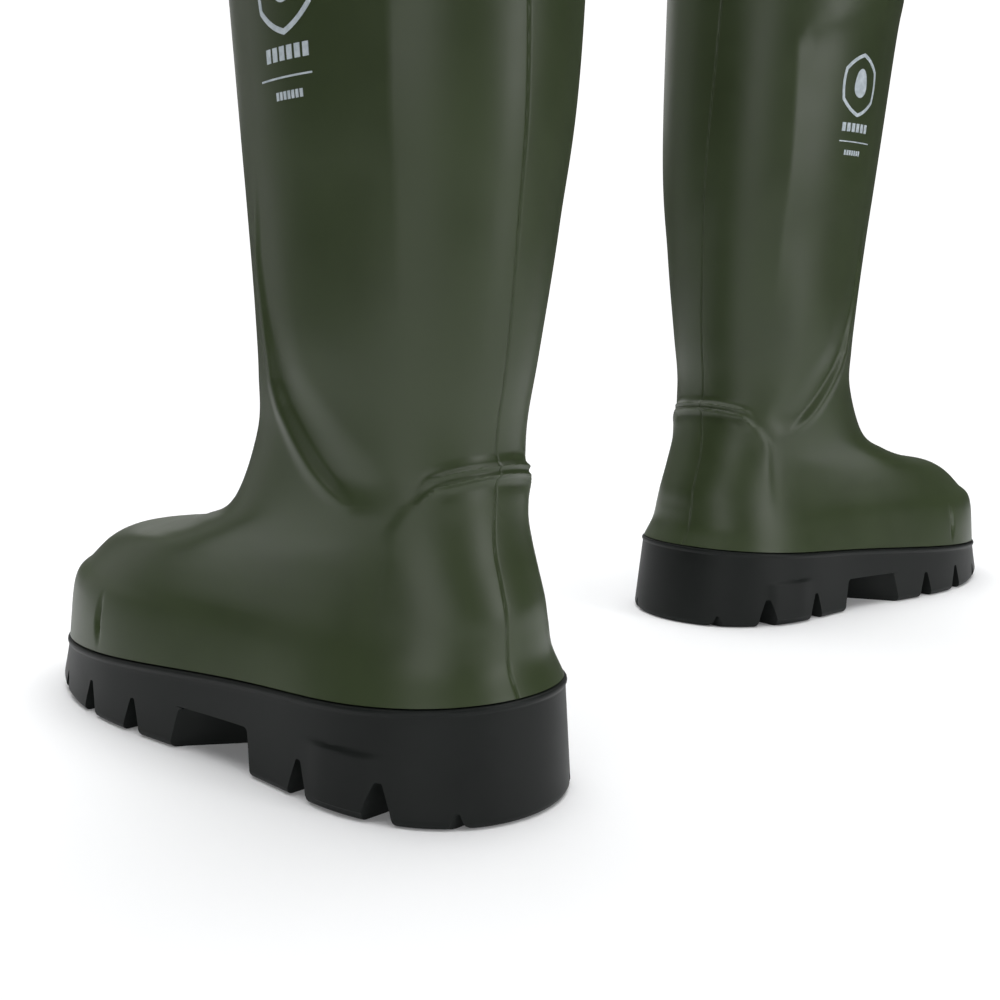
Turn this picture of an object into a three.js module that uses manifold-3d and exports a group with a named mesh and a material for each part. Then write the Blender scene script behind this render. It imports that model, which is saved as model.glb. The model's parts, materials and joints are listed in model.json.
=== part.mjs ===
// A pair of knee-high moulded polyurethane work boots, the right one a step ahead and the toes turned out.
// Millimetres, +Z up. Each boot is built on its own last: x runs forward from the back of the heel,
// y runs outward to the little-toe side and z runs up from the floor. The right boot is the mirror
// image of the left one.
import * as THREE from 'three';
import { mergeVertices } from 'three/addons/utils/BufferGeometryUtils.js';
import Module from 'manifold-3d';

const wasm = await Module();
wasm.setup();

// ---- Driving dimensions -------------------------------------------------------------------------

const SIDES = 24; // flats round every loop of the boot
const GAP = 0.3; // clearance between solids that touch on the real boot

const UPPER_WALL = 3.4; // polyurethane wall of the upper
const LINING_WALL = 1.2; // knitted lining bonded inside it
const CAP_WALL = 1.8; // steel of the toe cap
const PLATE_THICKNESS = 1.0; // steel plate against nails
const BOARD_THICKNESS = 1.6; // insole board
const FOOTBED_THICKNESS = 5.0; // removable foam insole
const BOARD_MARGIN = 11; // board and plate stop this far inside the edge of the sole
const FOOTBED_MARGIN = 16; // the footbed lies inside the lining

const TUCK = { outer: 0.13, inner: 0.05 }; // share by which the toe's sides lean in over the cap

const BALL_X = 193; // the sole bends here, under the ball of the foot
const BALL_STRIP = 26; // length of the strip that bends
const CAP_REAR_X = 221; // rear edge of the steel toe cap
const RIM_SHARE = 0.12; // height of the band round the top of the shaft, in stations
const RIM_WALL = 1.6;

const ARCH = { rear: 98.5, front: 149, roofRear: 102.5, roofFront: 144, heightRear: 20, heightFront: 18.5 };
// Plan of the block ahead of the arch: its rear face runs back to a blunt point under the foot's middle
const ARCH_TONGUE = [[149, 57], [111, 0], [141, -50], [170, -70], [170, 80]];
const SIDE_NOTCHES = [32, 70, 177.5, 213, 248]; // x of the notches between the cleats
const NOTCH_WIDTH = 12; // at the ground
const NOTCH_HEIGHT = 16;
const NOTCH_DEPTH = 15;
const TOE_SPRING = 10; // lift of the sole's underside at the toe
const SPRING_X = 215; // the underside starts to rise here
const EDGE_ROUND = 3; // rounding of the sole's lower edge
const FLARE = 3.4; // the sole widens by this much towards the ground

const LEFT_TURN = THREE.MathUtils.degToRad(41.5); // toes turned out from straight ahead
const RIGHT_TURN = THREE.MathUtils.degToRad(51.5);
const RIGHT_AHEAD = new THREE.Vector2(111, 288); // right heel seen from the left heel

// ---- The last: one loop at each station from the sole's edge to the top of the shaft --------------

// back and front are [x, z] of the loop on the boot's centre line, half is its half width on the
// outer and the inner side, and round says how far it has turned from a footprint into an ellipse.
const STATIONS = [
  { back: [2, 46], front: [300, 22], half: [64, 57], round: 0 }, // edge of the sole
  { back: [7, 56], front: [299, 52], half: [58.5, 53], round: 0 },
  { back: [8.5, 66], front: [291, 61], half: [54, 50.5], round: 0 },
  { back: [9.5, 76], front: [277, 71], half: [51, 48], round: 0.09 }, // top of the toe cap
  { back: [13, 86], front: [254, 79], half: [49, 46.5], round: 0.18 },
  { back: [17, 96], front: [222, 84], half: [47.5, 45.5], round: 0.29 },
  { back: [19.5, 106], front: [188, 92], half: [46.5, 44.5], round: 0.51 }, // instep
  { back: [21, 116], front: [159, 104], half: [45.5, 44.5], round: 0.65 },
  { back: [22, 128], front: [141, 136], half: [44.5, 45], round: 0.86 },
  { back: [21, 142], front: [139, 160], half: [45, 45.5], round: 0.92 }, // ankle
  { back: [16.5, 165], front: [140, 185], half: [47, 48], round: 1 },
  { back: [10, 210], front: [141.5, 225], half: [51.5, 52.5], round: 1 },
  { back: [4, 270], front: [142.5, 280], half: [57.5, 57.5], round: 1 }, // calf
  { back: [3, 400], front: [150, 400], half: [63, 62], round: 1 }, // top of the shaft
];
// Footprint: width of the outline, against an ellipse, from the back of the heel to the tip of the toe
const PRINT_AT = [0, 0.12, 0.3, 0.45, 0.7, 0.85, 1];
const PRINT_OUTER = [1.35, 1.14, 0.91, 0.9, 1.1, 1.2, 1.25];
const PRINT_INNER = [1.5, 1.24, 0.88, 0.82, 1.06, 1.17, 1.25];

const ANKLE_LOW = 7; // stations between which the ankle bends
const ANKLE_HIGH = 10.5;
const TOP = STATIONS.length - 1;
const LOW_CLEAR = 0.05; // share of a station left open below the ankle strip
const HIGH_CLEAR = 0.01; // and above it, where the stations stand further apart

// Value of a list at a fractional index, on a smooth curve through its numbers
function smoothAt(list, at) {
  const i = Math.min(Math.floor(at), list.length - 2);
  const f = at - i;
  const p1 = list[i];
  const p2 = list[i + 1];
  const p0 = i > 0 ? list[i - 1] : 2 * p1 - p2;
  const p3 = i + 2 < list.length ? list[i + 2] : 2 * p2 - p1;
  const square = (2 * p0 - 5 * p1 + 4 * p2 - p3) * f * f;
  const cube = (3 * p1 - p0 - 3 * p2 + p3) * f * f * f;
  return 0.5 * (2 * p1 + (p2 - p0) * f + square + cube);
}

function linearAt(xs, values, x) {
  let i = 0;
  while (i < xs.length - 2 && x > xs[i + 1]) i += 1;
  return THREE.MathUtils.lerp(values[i], values[i + 1], (x - xs[i]) / (xs[i + 1] - xs[i]));
}

const TRACKS = {
  backX: STATIONS.map((s) => s.back[0]),
  backZ: STATIONS.map((s) => s.back[1]),
  frontX: STATIONS.map((s) => s.front[0]),
  frontZ: STATIONS.map((s) => s.front[1]),
  outer: STATIONS.map((s) => s.half[0]),
  inner: STATIONS.map((s) => s.half[1]),
  round: STATIONS.map((s) => s.round),
};

// The sides lean in over the toes, so that the cap is a dome and not a box
function tuck(at, along, isOuter) {
  const overCap = THREE.MathUtils.smoothstep(at, 1.2, 3.2) * (1 - THREE.MathUtils.smoothstep(at, 5, 7));
  const atToe = THREE.MathUtils.smoothstep(along, 0.5, 0.88);
  return 1 - (isOuter ? TUCK.outer : TUCK.inner) * overCap * atToe;
}

// Point on the outside of the boot. Angle 0 is the back seam and half a turn is the front.
function skin(at, angle) {
  const along = (1 - Math.cos(angle)) / 2;
  const sine = Math.sin(angle);
  const isOuter = sine >= 0;
  const half = smoothAt(isOuter ? TRACKS.outer : TRACKS.inner, at);
  const print = linearAt(PRINT_AT, isOuter ? PRINT_OUTER : PRINT_INNER, along);
  const turned = THREE.MathUtils.lerp(print, 1, smoothAt(TRACKS.round, at));
  const width = half * turned * tuck(at, along, isOuter);
  return new THREE.Vector3(
    THREE.MathUtils.lerp(smoothAt(TRACKS.backX, at), smoothAt(TRACKS.frontX, at), along),
    sine * width,
    THREE.MathUtils.lerp(smoothAt(TRACKS.backZ, at), smoothAt(TRACKS.frontZ, at), along),
  );
}

// Height of the sole's top face, a plane that falls from the heel to the toe
function soleTop(x) {
  const [sole] = STATIONS;
  return THREE.MathUtils.lerp(sole.back[1], sole.front[1], x / sole.front[0]);
}

// The same point moved inwards by a depth, square to the surface, and kept clear of the sole
function beneath(at, angle, depth) {
  const step = 0.02;
  const low = Math.max(at - step, 0);
  const high = Math.min(at + step, TOP);
  const up = skin(high, angle).sub(skin(low, angle));
  const round = skin(at, angle + step).sub(skin(at, angle - step));
  const inward = round.cross(up).normalize();
  const point = skin(at, angle).addScaledVector(inward, depth);
  if (at > 0) point.z = Math.max(point.z, soleTop(point.x) + GAP);
  return point;
}

function loopAt(at, depth) {
  const points = [];
  for (let k = 0; k < SIDES; k += 1) points.push(beneath(at, (2 * Math.PI * k) / SIDES, depth));
  return points;
}

// ---- Closed meshes from loops ---------------------------------------------------------------------

// Geometry from triangles of points
function geometryOf(triangles) {
  const geometry = new THREE.BufferGeometry().setFromPoints(triangles.flat());
  return mergeVertices(geometry, 1e-4);
}

function wall(lower, upper) {
  const triangles = [];
  for (let k = 0; k < lower.length; k += 1) {
    const n = (k + 1) % lower.length;
    triangles.push([lower[k], upper[n], lower[n]], [lower[k], upper[k], upper[n]]);
  }
  return triangles;
}

// Face across a loop, in strips from the outer side to the inner side
function lid(loop, facesUp) {
  const triangles = [];
  for (let k = 0; k < SIDES / 2; k += 1) {
    const outer = [loop[k], loop[k + 1]];
    const inner = [loop[(SIDES - k) % SIDES], loop[SIDES - k - 1]];
    if (k > 0) triangles.push([outer[0], outer[1], inner[0]]);
    if (k < SIDES / 2 - 1) triangles.push([inner[0], outer[1], inner[1]]);
  }
  return facesUp ? triangles.map(([a, b, c]) => [a, c, b]) : triangles;
}

// Solid through loops listed from the bottom to the top
function loft(loops) {
  const triangles = [...lid(loops[0], false), ...lid(loops.at(-1), true)];
  for (let i = 1; i < loops.length; i += 1) triangles.push(...wall(loops[i - 1], loops[i]));
  return geometryOf(triangles);
}

// Open tube with a wall, between an outer and an inner stack of loops
function sleeve(outer, inner) {
  const triangles = [...wall(outer.at(-1), inner.at(-1)), ...wall(inner[0], outer[0])];
  for (let i = 1; i < outer.length; i += 1) {
    const hollow = wall(inner[i - 1], inner[i]).map(([a, b, c]) => [a, c, b]);
    triangles.push(...wall(outer[i - 1], outer[i]), ...hollow);
  }
  return geometryOf(triangles);
}

// ---- Joins and cuts ---------------------------------------------------------------------------------

function solidOf(geometry) {
  const bare = geometry.clone();
  for (const name of Object.keys(bare.attributes)) {
    if (name !== 'position') bare.deleteAttribute(name);
  }
  const merged = mergeVertices(bare, 1e-4);
  return new wasm.Manifold(new wasm.Mesh({
    numProp: 3,
    vertProperties: new Float32Array(merged.attributes.position.array),
    triVerts: new Uint32Array(merged.index.array),
  }));
}

function geometryFrom(solid) {
  const mesh = solid.getMesh();
  const geometry = new THREE.BufferGeometry();
  geometry.setAttribute('position', new THREE.BufferAttribute(mesh.vertProperties, 3));
  geometry.setIndex(new THREE.BufferAttribute(mesh.triVerts, 1));
  return geometry;
}

// The part of a geometry between two heights along x
function slice(geometry, fromX, toX) {
  const tall = 900;
  const slab = new THREE.BoxGeometry(toX - fromX, tall, tall).translate((fromX + toX) / 2, 0, 0);
  return geometryFrom(solidOf(geometry).intersect(solidOf(slab)));
}

const REAR = [-50, BALL_X - BALL_STRIP / 2 - GAP];
const STRIP = [BALL_X - BALL_STRIP / 2, BALL_X + BALL_STRIP / 2];
const TOE = [BALL_X + BALL_STRIP / 2 + GAP, 400];
const REAR_THIN = [-50, BALL_X - GAP];
const TOE_THIN = [BALL_X + GAP, 400];

// ---- Upper, lining, toe cap and collar ----------------------------------------------------------------

function steps(from, to, count) {
  return Array.from({ length: count + 1 }, (_, i) => THREE.MathUtils.lerp(from, to, i / count));
}

// A wall that follows the skin between two depths
function layer(levels, outerDepth, innerDepth) {
  return sleeve(levels.map((at) => loopAt(at, outerDepth)), levels.map((at) => loopAt(at, innerDepth)));
}

const FULL_WALL = UPPER_WALL + GAP + LINING_WALL;
const FOOT_START = 0.05; // the upper starts just above the sole
const FOOT_LEVELS = steps(FOOT_START, ANKLE_LOW - LOW_CLEAR, 8);
const CAP_LOOPS = 6; // loops of the foot that reach the toe cap
const ANKLE_LEVELS = steps(ANKLE_LOW, ANKLE_HIGH, 4);
const SHAFT_LEVELS = steps(ANKLE_HIGH + HIGH_CLEAR, TOP, 5);

// The lining lies against the upper, and steps in ahead of the steel cap to run inside it
function footLining(levels) {
  const stack = (depth) => levels.map((at) => loopAt(at, 0).map((p, k) => {
    const inToe = THREE.MathUtils.smoothstep(p.x, CAP_REAR_X - 66, CAP_REAR_X - 40);
    return beneath(at, (2 * Math.PI * k) / SIDES, depth + inToe * (CAP_WALL + GAP));
  }));
  return sleeve(stack(UPPER_WALL + GAP), stack(FULL_WALL));
}

// ---- Sole, plate, board and footbed ---------------------------------------------------------------------

// Loop parallel to the sole's edge, moved outwards, then dropped below the sole's top face or laid
// at a height above the floor, which the toe spring lifts
function soleLoop(outward, drop, floor) {
  const edge = loopAt(0, 0);
  return edge.map((p, k) => {
    const before = edge[(k + SIDES - 1) % SIDES];
    const after = edge[(k + 1) % SIDES];
    const aside = new THREE.Vector3(before.y - after.y, after.x - before.x, 0).normalize();
    const moved = p.clone().addScaledVector(aside, outward);
    const spring = TOE_SPRING * THREE.MathUtils.clamp((p.x - SPRING_X) / (300 - SPRING_X), 0, 1) ** 2;
    moved.z = floor === undefined ? soleTop(moved.x) - drop : floor + spring;
    return moved;
  });
}

// A flat layer above the sole, following its slope
function bedLayer(bottom, thickness, inset) {
  const loops = [bottom, bottom + thickness].map((height) => (
    soleLoop(-inset, -height)
  ));
  return loft(loops);
}

function prismAcross(outline, fromY, toY) {
  const shape = new THREE.Shape(outline.map(([x, z]) => new THREE.Vector2(x, z)));
  const geometry = new THREE.ExtrudeGeometry(shape, { depth: toY - fromY, bevelEnabled: false });
  return geometry.rotateX(Math.PI / 2).translate(0, toY, 0);
}

function outsole() {
  let solid = solidOf(loft([
    soleLoop(FLARE - EDGE_ROUND, 0, 0),
    soleLoop(FLARE, 0, EDGE_ROUND),
    soleLoop(0.2, 4),
    soleLoop(1.4, 2.5),
    soleLoop(0.8, 0),
  ]));
  const below = -5;
  const arch = prismAcross([
    [ARCH.rear, below], [ARCH.front, below], [ARCH.roofFront, ARCH.heightFront],
    [ARCH.roofRear, ARCH.heightRear],
  ], -90, 90);
  const tongueShape = new THREE.Shape(ARCH_TONGUE.map(([x, y]) => new THREE.Vector2(x, y)));
  const tongue = new THREE.ExtrudeGeometry(tongueShape, { depth: 60, bevelEnabled: false })
    .translate(0, 0, -20);
  solid = solid.subtract(solidOf(arch).subtract(solidOf(tongue)));
  for (const x of SIDE_NOTCHES) {
    const half = (NOTCH_WIDTH / 2) * (1 - below / NOTCH_HEIGHT);
    const triangle = [[x - half, below], [x + half, below], [x, NOTCH_HEIGHT]];
    for (const side of [1, -1]) {
      const edge = Math.abs(skin(0, Math.acos(1 - (2 * x) / 300) * side).y);
      const near = side * (edge - NOTCH_DEPTH);
      const far = side * (edge + 20);
      const cutter = prismAcross(triangle, Math.min(near, far), Math.max(near, far));
      solid = solid.subtract(solidOf(cutter));
    }
  }
  return geometryFrom(solid);
}

// ---- Assembly ----------------------------------------------------------------------------------------

const finish = (color, roughness, metalness) => ({ color, roughness, metalness });
const FINISHES = {
  olive: finish(0x43493a, 0.42, 0),
  black: finish(0x1f2322, 0.5, 0),
  knit: finish(0xb9b7ac, 0.95, 0),
  steel: finish(0xa6a8aa, 0.35, 1),
  board: finish(0xcfc6b2, 0.9, 0),
  foam: finish(0x4a4d4f, 0.9, 0),
};

function bootPieces() {
  const sole = outsole();
  const foot = layer(FOOT_LEVELS, 0, UPPER_WALL);
  const lining = footLining(FOOT_LEVELS);
  const cap = layer(FOOT_LEVELS.slice(0, CAP_LOOPS), UPPER_WALL + GAP, UPPER_WALL + GAP + CAP_WALL);
  const plate = bedLayer(GAP, PLATE_THICKNESS, BOARD_MARGIN);
  const board = bedLayer(PLATE_THICKNESS + GAP * 2, BOARD_THICKNESS, BOARD_MARGIN);
  const footbed = bedLayer(PLATE_THICKNESS + BOARD_THICKNESS + GAP * 3, FOOTBED_THICKNESS, FOOTBED_MARGIN);
  const rimLevels = steps(TOP - RIM_SHARE, TOP, 1);
  return [
    ['outsole_rear', slice(sole, ...REAR), 'black'],
    ['outsole_ball_flex', slice(sole, ...STRIP), 'black'],
    ['outsole_toe', slice(sole, ...TOE), 'black'],
    ['upper_foot', slice(foot, ...REAR), 'olive'],
    ['upper_ball_flex', slice(layer(FOOT_LEVELS, 0, FULL_WALL), ...STRIP), 'olive'],
    ['upper_toe', slice(foot, ...TOE), 'olive'],
    ['upper_ankle_flex', layer(ANKLE_LEVELS, 0, FULL_WALL), 'olive'],
    ['upper_shaft', layer(SHAFT_LEVELS, 0, UPPER_WALL), 'olive'],
    ['collar_rim', layer(rimLevels, -GAP - RIM_WALL, -GAP), 'olive'],
    ['lining_foot', slice(lining, ...REAR), 'knit'],
    ['lining_toe', slice(lining, ...TOE), 'knit'],
    ['lining_shaft', layer(SHAFT_LEVELS, UPPER_WALL + GAP, FULL_WALL), 'knit'],
    ['toe_cap', slice(cap, CAP_REAR_X, 400), 'steel'],
    ['midsole_plate_rear', slice(plate, ...REAR_THIN), 'steel'],
    ['midsole_plate_toe', slice(plate, ...TOE_THIN), 'steel'],
    ['insole_board_rear', slice(board, ...REAR_THIN), 'board'],
    ['insole_board_toe', slice(board, ...TOE_THIN), 'board'],
    ['footbed_rear', slice(footbed, ...REAR_THIN), 'foam'],
    ['footbed_toe', slice(footbed, ...TOE_THIN), 'foam'],
  ];
}

function boot(side) {
  const group = new THREE.Group();
  for (const [name, geometry, kind] of bootPieces()) {
    const mesh = new THREE.Mesh(geometry, new THREE.MeshStandardMaterial(FINISHES[kind]));
    mesh.name = `${side}_${name}`;
    group.add(mesh);
  }
  return group;
}

const left = boot('left');
left.rotation.z = Math.PI / 2 + LEFT_TURN;

const right = boot('right');
right.scale.y = -1;
right.rotation.z = Math.PI / 2 - RIGHT_TURN;
right.position.set(RIGHT_AHEAD.x, RIGHT_AHEAD.y, 0);

// The pair stands on z = 0, centred on the middle of its own outline
const pair = new THREE.Group();
pair.add(left, right);
const extent = new THREE.Box3().setFromObject(pair, true);
const middle = extent.getCenter(new THREE.Vector3());
pair.position.set(-middle.x, -middle.y, 0);

export default pair;
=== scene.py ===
# %% [markdown]
# # A pair of knee-high work boots
# Each boot on the real thing is injection moulded: a green polyurethane upper and a black sole are
# foamed round a knitted sock, with a steel cap over the toes and a steel plate under the foot.
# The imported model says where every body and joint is, so it is loaded first and left as it is.

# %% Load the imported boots
import json
import math

import bmesh
import bpy
from mathutils import Matrix, Vector


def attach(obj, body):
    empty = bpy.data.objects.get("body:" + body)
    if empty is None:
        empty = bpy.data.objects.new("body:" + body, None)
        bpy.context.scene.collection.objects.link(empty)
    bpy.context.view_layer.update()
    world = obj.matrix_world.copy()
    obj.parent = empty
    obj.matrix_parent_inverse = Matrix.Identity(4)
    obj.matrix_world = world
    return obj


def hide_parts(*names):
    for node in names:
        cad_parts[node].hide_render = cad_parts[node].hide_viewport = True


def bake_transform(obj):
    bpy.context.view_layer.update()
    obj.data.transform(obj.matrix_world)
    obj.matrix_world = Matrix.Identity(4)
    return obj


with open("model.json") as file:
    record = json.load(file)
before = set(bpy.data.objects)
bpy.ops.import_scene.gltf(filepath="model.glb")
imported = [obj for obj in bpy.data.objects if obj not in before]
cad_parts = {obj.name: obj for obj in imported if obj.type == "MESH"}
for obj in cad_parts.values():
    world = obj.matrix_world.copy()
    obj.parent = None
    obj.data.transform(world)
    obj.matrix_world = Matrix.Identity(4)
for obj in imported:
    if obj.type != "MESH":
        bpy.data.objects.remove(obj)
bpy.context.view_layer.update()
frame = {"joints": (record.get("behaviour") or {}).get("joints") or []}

joints = {joint["name"]: joint for joint in frame["joints"]}

# %% [markdown]
# ## Where each boot stands
# Every piece is made once, on a last that points along x, and is then set down twice. The ankle
# joint's axis runs across the boot, so it gives the boot's heading, and a fixed step back along
# that heading leads to the heel. The right boot is the mirror image of the left one.

# %% One matrix from the last to each boot
ANKLE_X = 0.085  # the ankle joint lies this far ahead of the back of the heel
UP = Vector((0, 0, 1))


def standing(side):
    """Matrix from the last to the boot on one side: x ahead, y to the little toe, z up."""
    ankle = joints[side + "_ankle_bend"]
    left = Vector(ankle["axis"]).normalized()
    ahead = Vector((left.y, -left.x, 0))
    outward = left if side == "left" else -left
    heel = Vector(ankle["pos_m"]) - ANKLE_X * ahead
    heel.z = 0
    turned = Matrix((ahead, outward, UP)).transposed().to_4x4()
    return Matrix.Translation(heel) @ turned


BOOTS = {side: standing(side) for side in ("left", "right")}
BALL = BOOTS["left"].inverted() @ Vector(joints["left_toe_bend"]["pos_m"])
ANKLE = BOOTS["left"].inverted() @ Vector(joints["left_ankle_bend"]["pos_m"])
print("ball of the foot", BALL, "ankle", ANKLE)

# %% [markdown]
# ## The camera
# The camera stands low and close, a little left of the near boot, and looks slightly down. Its
# shift moves the picture sideways and up without turning the lens, as a view camera does.

# %% Set up the camera
SENSOR = 0.036
LENS_PER_WIDTH = 1.2095  # focal length over the picture's width
CAMERA_FROM_HEEL = Vector((-0.04907, -0.4154, 0.1833))
LOOK_DOWN = 0.239

camera_data = bpy.data.cameras.new("camera")
camera_data.sensor_width = SENSOR * 1000
camera_data.lens = LENS_PER_WIDTH * SENSOR * 1000
camera_data.shift_x = 0.1
camera_data.shift_y = 0.1
camera_data.clip_start = 0.01
camera = bpy.data.objects.new("camera", camera_data)
camera.location = BOOTS["left"].translation + CAMERA_FROM_HEEL
camera.rotation_euler = (math.pi / 2 - LOOK_DOWN, 0, 0)
bpy.context.collection.objects.link(camera)
bpy.context.scene.camera = camera
print("camera at", tuple(round(v, 3) for v in camera.location))

# %% [markdown]
# ## The last
# A bootmaker shapes everything over a last, a solid foot and leg. Here the last is a stack of
# loops, one at each station from the edge of the sole to the top of the shaft. A loop low down is
# a footprint, and it turns into an ellipse on its way up. A smooth curve runs through the stations,
# so the last can be asked for a point at any level and at any turn round the leg.

# %% Stations and footprint of the last
STATIONS = (
    # back x, back z, front x, front z, outer half width, inner half width, roundness
    (0.002, 0.046, 0.3, 0.022, 0.064, 0.057, 0),
    (0.007, 0.056, 0.299, 0.052, 0.0585, 0.053, 0),
    (0.0085, 0.066, 0.291, 0.061, 0.054, 0.0505, 0),
    (0.0095, 0.076, 0.277, 0.071, 0.051, 0.048, 0.09),
    (0.013, 0.086, 0.254, 0.079, 0.049, 0.0465, 0.18),
    (0.017, 0.096, 0.222, 0.084, 0.0475, 0.0455, 0.29),
    (0.0195, 0.106, 0.188, 0.092, 0.0465, 0.0445, 0.51),
    (0.021, 0.116, 0.159, 0.104, 0.0455, 0.0445, 0.65),
    (0.022, 0.128, 0.141, 0.136, 0.0445, 0.045, 0.86),
    (0.021, 0.142, 0.139, 0.16, 0.045, 0.0455, 0.92),
    (0.0165, 0.165, 0.14, 0.185, 0.047, 0.048, 1),
    (0.01, 0.21, 0.1415, 0.225, 0.0515, 0.0525, 1),
    (0.004, 0.27, 0.1425, 0.28, 0.0575, 0.0575, 1),
    (0.003, 0.4, 0.15, 0.4, 0.063, 0.062, 1),
)
BACK_X, BACK_Z, FRONT_X, FRONT_Z, OUTER, INNER, ROUNDNESS = zip(*STATIONS)
TOP = len(STATIONS) - 1
PRINT_AT = (0, 0.12, 0.3, 0.45, 0.7, 0.85, 1)
PRINT_OUTER = (1.35, 1.14, 0.91, 0.9, 1.1, 1.2, 1.25)
PRINT_INNER = (1.5, 1.24, 0.88, 0.82, 1.06, 1.17, 1.25)
SOLE_LENGTH = STATIONS[0][2]
TUCK_OUTER, TUCK_INNER = 0.08, 0.04


def mix(a, b, share):
    return a + (b - a) * share


def ease(value, low, high):
    """0 below low, 1 above high and a smooth rise between them."""
    share = min(max((value - low) / (high - low), 0), 1)
    return share * share * (3 - 2 * share)


def smooth_at(track, level):
    """A smooth curve through a track's numbers."""
    i = min(int(level), len(track) - 2)
    f = level - i
    p1, p2 = track[i], track[i + 1]
    p0 = track[i - 1] if i > 0 else 2 * p1 - p2
    p3 = track[i + 2] if i + 2 < len(track) else 2 * p2 - p1
    square = (2 * p0 - 5 * p1 + 4 * p2 - p3) * f * f
    cube = (3 * p1 - p0 - 3 * p2 + p3) * f * f * f
    return 0.5 * (2 * p1 + (p2 - p0) * f + square + cube)


def between(xs, x):
    """Which span of a table x lies in, and how far along it."""
    i = 0
    while i < len(xs) - 2 and x > xs[i + 1]:
        i += 1
    return i, (x - xs[i]) / (xs[i + 1] - xs[i])


def straight_at(xs, values, x):
    """Straight lines between a table's numbers."""
    i, share = between(xs, x)
    return mix(values[i], values[i + 1], share)


def slope_at(xs, values, i):
    """Slope of a curve through a table, from the numbers on both sides of the i-th."""
    low, high = max(i - 1, 0), min(i + 1, len(xs) - 1)
    return (values[high] - values[low]) / (xs[high] - xs[low])


def curved_at(xs, values, x):
    """The same table with a curve through it that has no corners."""
    i, f = between(xs, x)
    span = xs[i + 1] - xs[i]
    rise = (f ** 3 - 2 * f * f + f) * slope_at(xs, values, i)
    settle = (f ** 3 - f * f) * slope_at(xs, values, i + 1)
    return mix(values[i], values[i + 1], f * f * (3 - 2 * f)) + span * (rise + settle)


def tuck(level, along, is_outer):
    """The sides lean in over the toes, so that the cap is a dome and not a box."""
    over_cap = ease(level, 0.6, 3) * (1 - ease(level, 3.6, 6.8))
    share = TUCK_OUTER if is_outer else TUCK_INNER
    return 1 - share * over_cap * ease(along, 0.5, 1)


def skin(level, turn):
    """Point on the last: turn 0 is the back seam, pi the front, and up to pi the outer side."""
    along = (1 - math.cos(turn)) / 2
    across = math.sin(turn)
    is_outer = across >= 0
    half = smooth_at(OUTER if is_outer else INNER, level)
    footprint = curved_at(PRINT_AT, PRINT_OUTER if is_outer else PRINT_INNER, along)
    width = half * mix(footprint, 1, smooth_at(ROUNDNESS, level))
    width *= tuck(level, along, is_outer)
    return Vector((
        mix(smooth_at(BACK_X, level), smooth_at(FRONT_X, level), along),
        across * width,
        mix(smooth_at(BACK_Z, level), smooth_at(FRONT_Z, level), along),
    ))


def away(level, turn):
    """Direction square to the last's surface, pointing out."""
    nudge = 0.02
    up = skin(min(level + nudge, TOP), turn) - skin(max(level - nudge, 0), turn)
    across = skin(level, turn + nudge) - skin(level, turn - nudge)
    return up.cross(across).normalized()


def sole_top(x):
    """The sole's top face is a plane that falls from the heel to the toe."""
    return mix(STATIONS[0][1], STATIONS[0][3], x / SOLE_LENGTH)


print("last", TOP + 1, "stations, sole", SOLE_LENGTH, "m long")

# %% [markdown]
# ## Moulded relief
# The mould gives the upper its details: a double bead round the back of the ankle, a heel counter
# that stands out under it, a recessed panel on the outside of the shaft, a fold where the panel
# meets the instep, a dimple at the rear of the toe cap, and the parting line where the mould's
# halves meet. They could be sculpted or cut with booleans. Here each is a height in metres worked
# out from the point's place, because a height field keeps the wall one clean sheet of quads.

# %% Heights of the moulded details
BEAD_ROUTE = ((-0.05, 0.126), (0.022, 0.126), (0.03, 0.1225), (0.034, 0.1167))
BEAD_HEIGHT, BEAD_REACH = 0.0019, 0.0062
CREST_HEIGHT, CREST_REACH, CREST_APART = 0.0011, 0.0015, 0.0017
COUNTER_Z = (0.086, 0.1, 0.1056, 0.1167, 0.1225)
COUNTER_X = (0.0432, 0.0432, 0.0417, 0.034, 0.03)
COUNTER_STEP = 0.0011
FOLD_ROUTE = (
    (0.104, 0.235), (0.107, 0.2), (0.1023, 0.182), (0.0985, 0.166), (0.097, 0.156),
    (0.0915, 0.146), (0.0815, 0.134), (0.0737, 0.125), (0.066, 0.117), (0.06, 0.112),
)
FOLD_DEPTH, FOLD_LIP = 0.0025, 0.0011
FOLD_DEEPEST, FOLD_REACH = 0.0045, 0.024  # distances behind the crease
PANEL_EDGE_Z = (0.17, 0.204, 0.257, 0.314, 0.4)
PANEL_EDGE_X = (0.035, 0.033, 0.03, 0.027, 0.024)
PANEL_DEPTH, PANEL_EASE = 0.0030, 0.009
PANEL_TOP_X = (0.02, 0.0276, 0.034, 0.041, 0.0665, 0.106, 0.15)
PANEL_TOP_Z = (0.3, 0.32, 0.326, 0.329, 0.335, 0.344, 0.352)
DIMPLE = Vector((0.2135, 0.0445))
DIMPLE_DEPTH = 0.002
SEAM_Z = (0.048, 0.075, 0.1, 0.126, 0.17, 0.24, 0.31, 0.4)
SEAM_Y = (0.0065, 0.006, 0.004, 0, 0.0015, 0.005, 0.0095, 0.014)
SEAM_DEPTH, SEAM_REACH = 0.00045, 0.0008


def nearest(route, spot):
    """Distance from a route in side view, and on which side of it the spot lies."""
    best, side = 1.0, 1
    for start, end in zip(route, route[1:]):
        a, b = Vector(start), Vector(end)
        share = min(max((spot - a).dot(b - a) / (b - a).length_squared, 0), 1)
        gap = spot - a.lerp(b, share)
        if gap.length < best:
            best = gap.length
            side = 1 if (b - a).cross(gap) > 0 else -1
    return best, side


def hump(distance, reach):
    """A rounded ridge, 1 on its crest and 0 at its foot."""
    return 0.5 + 0.5 * math.cos(math.pi * min(distance / reach, 1))


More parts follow.
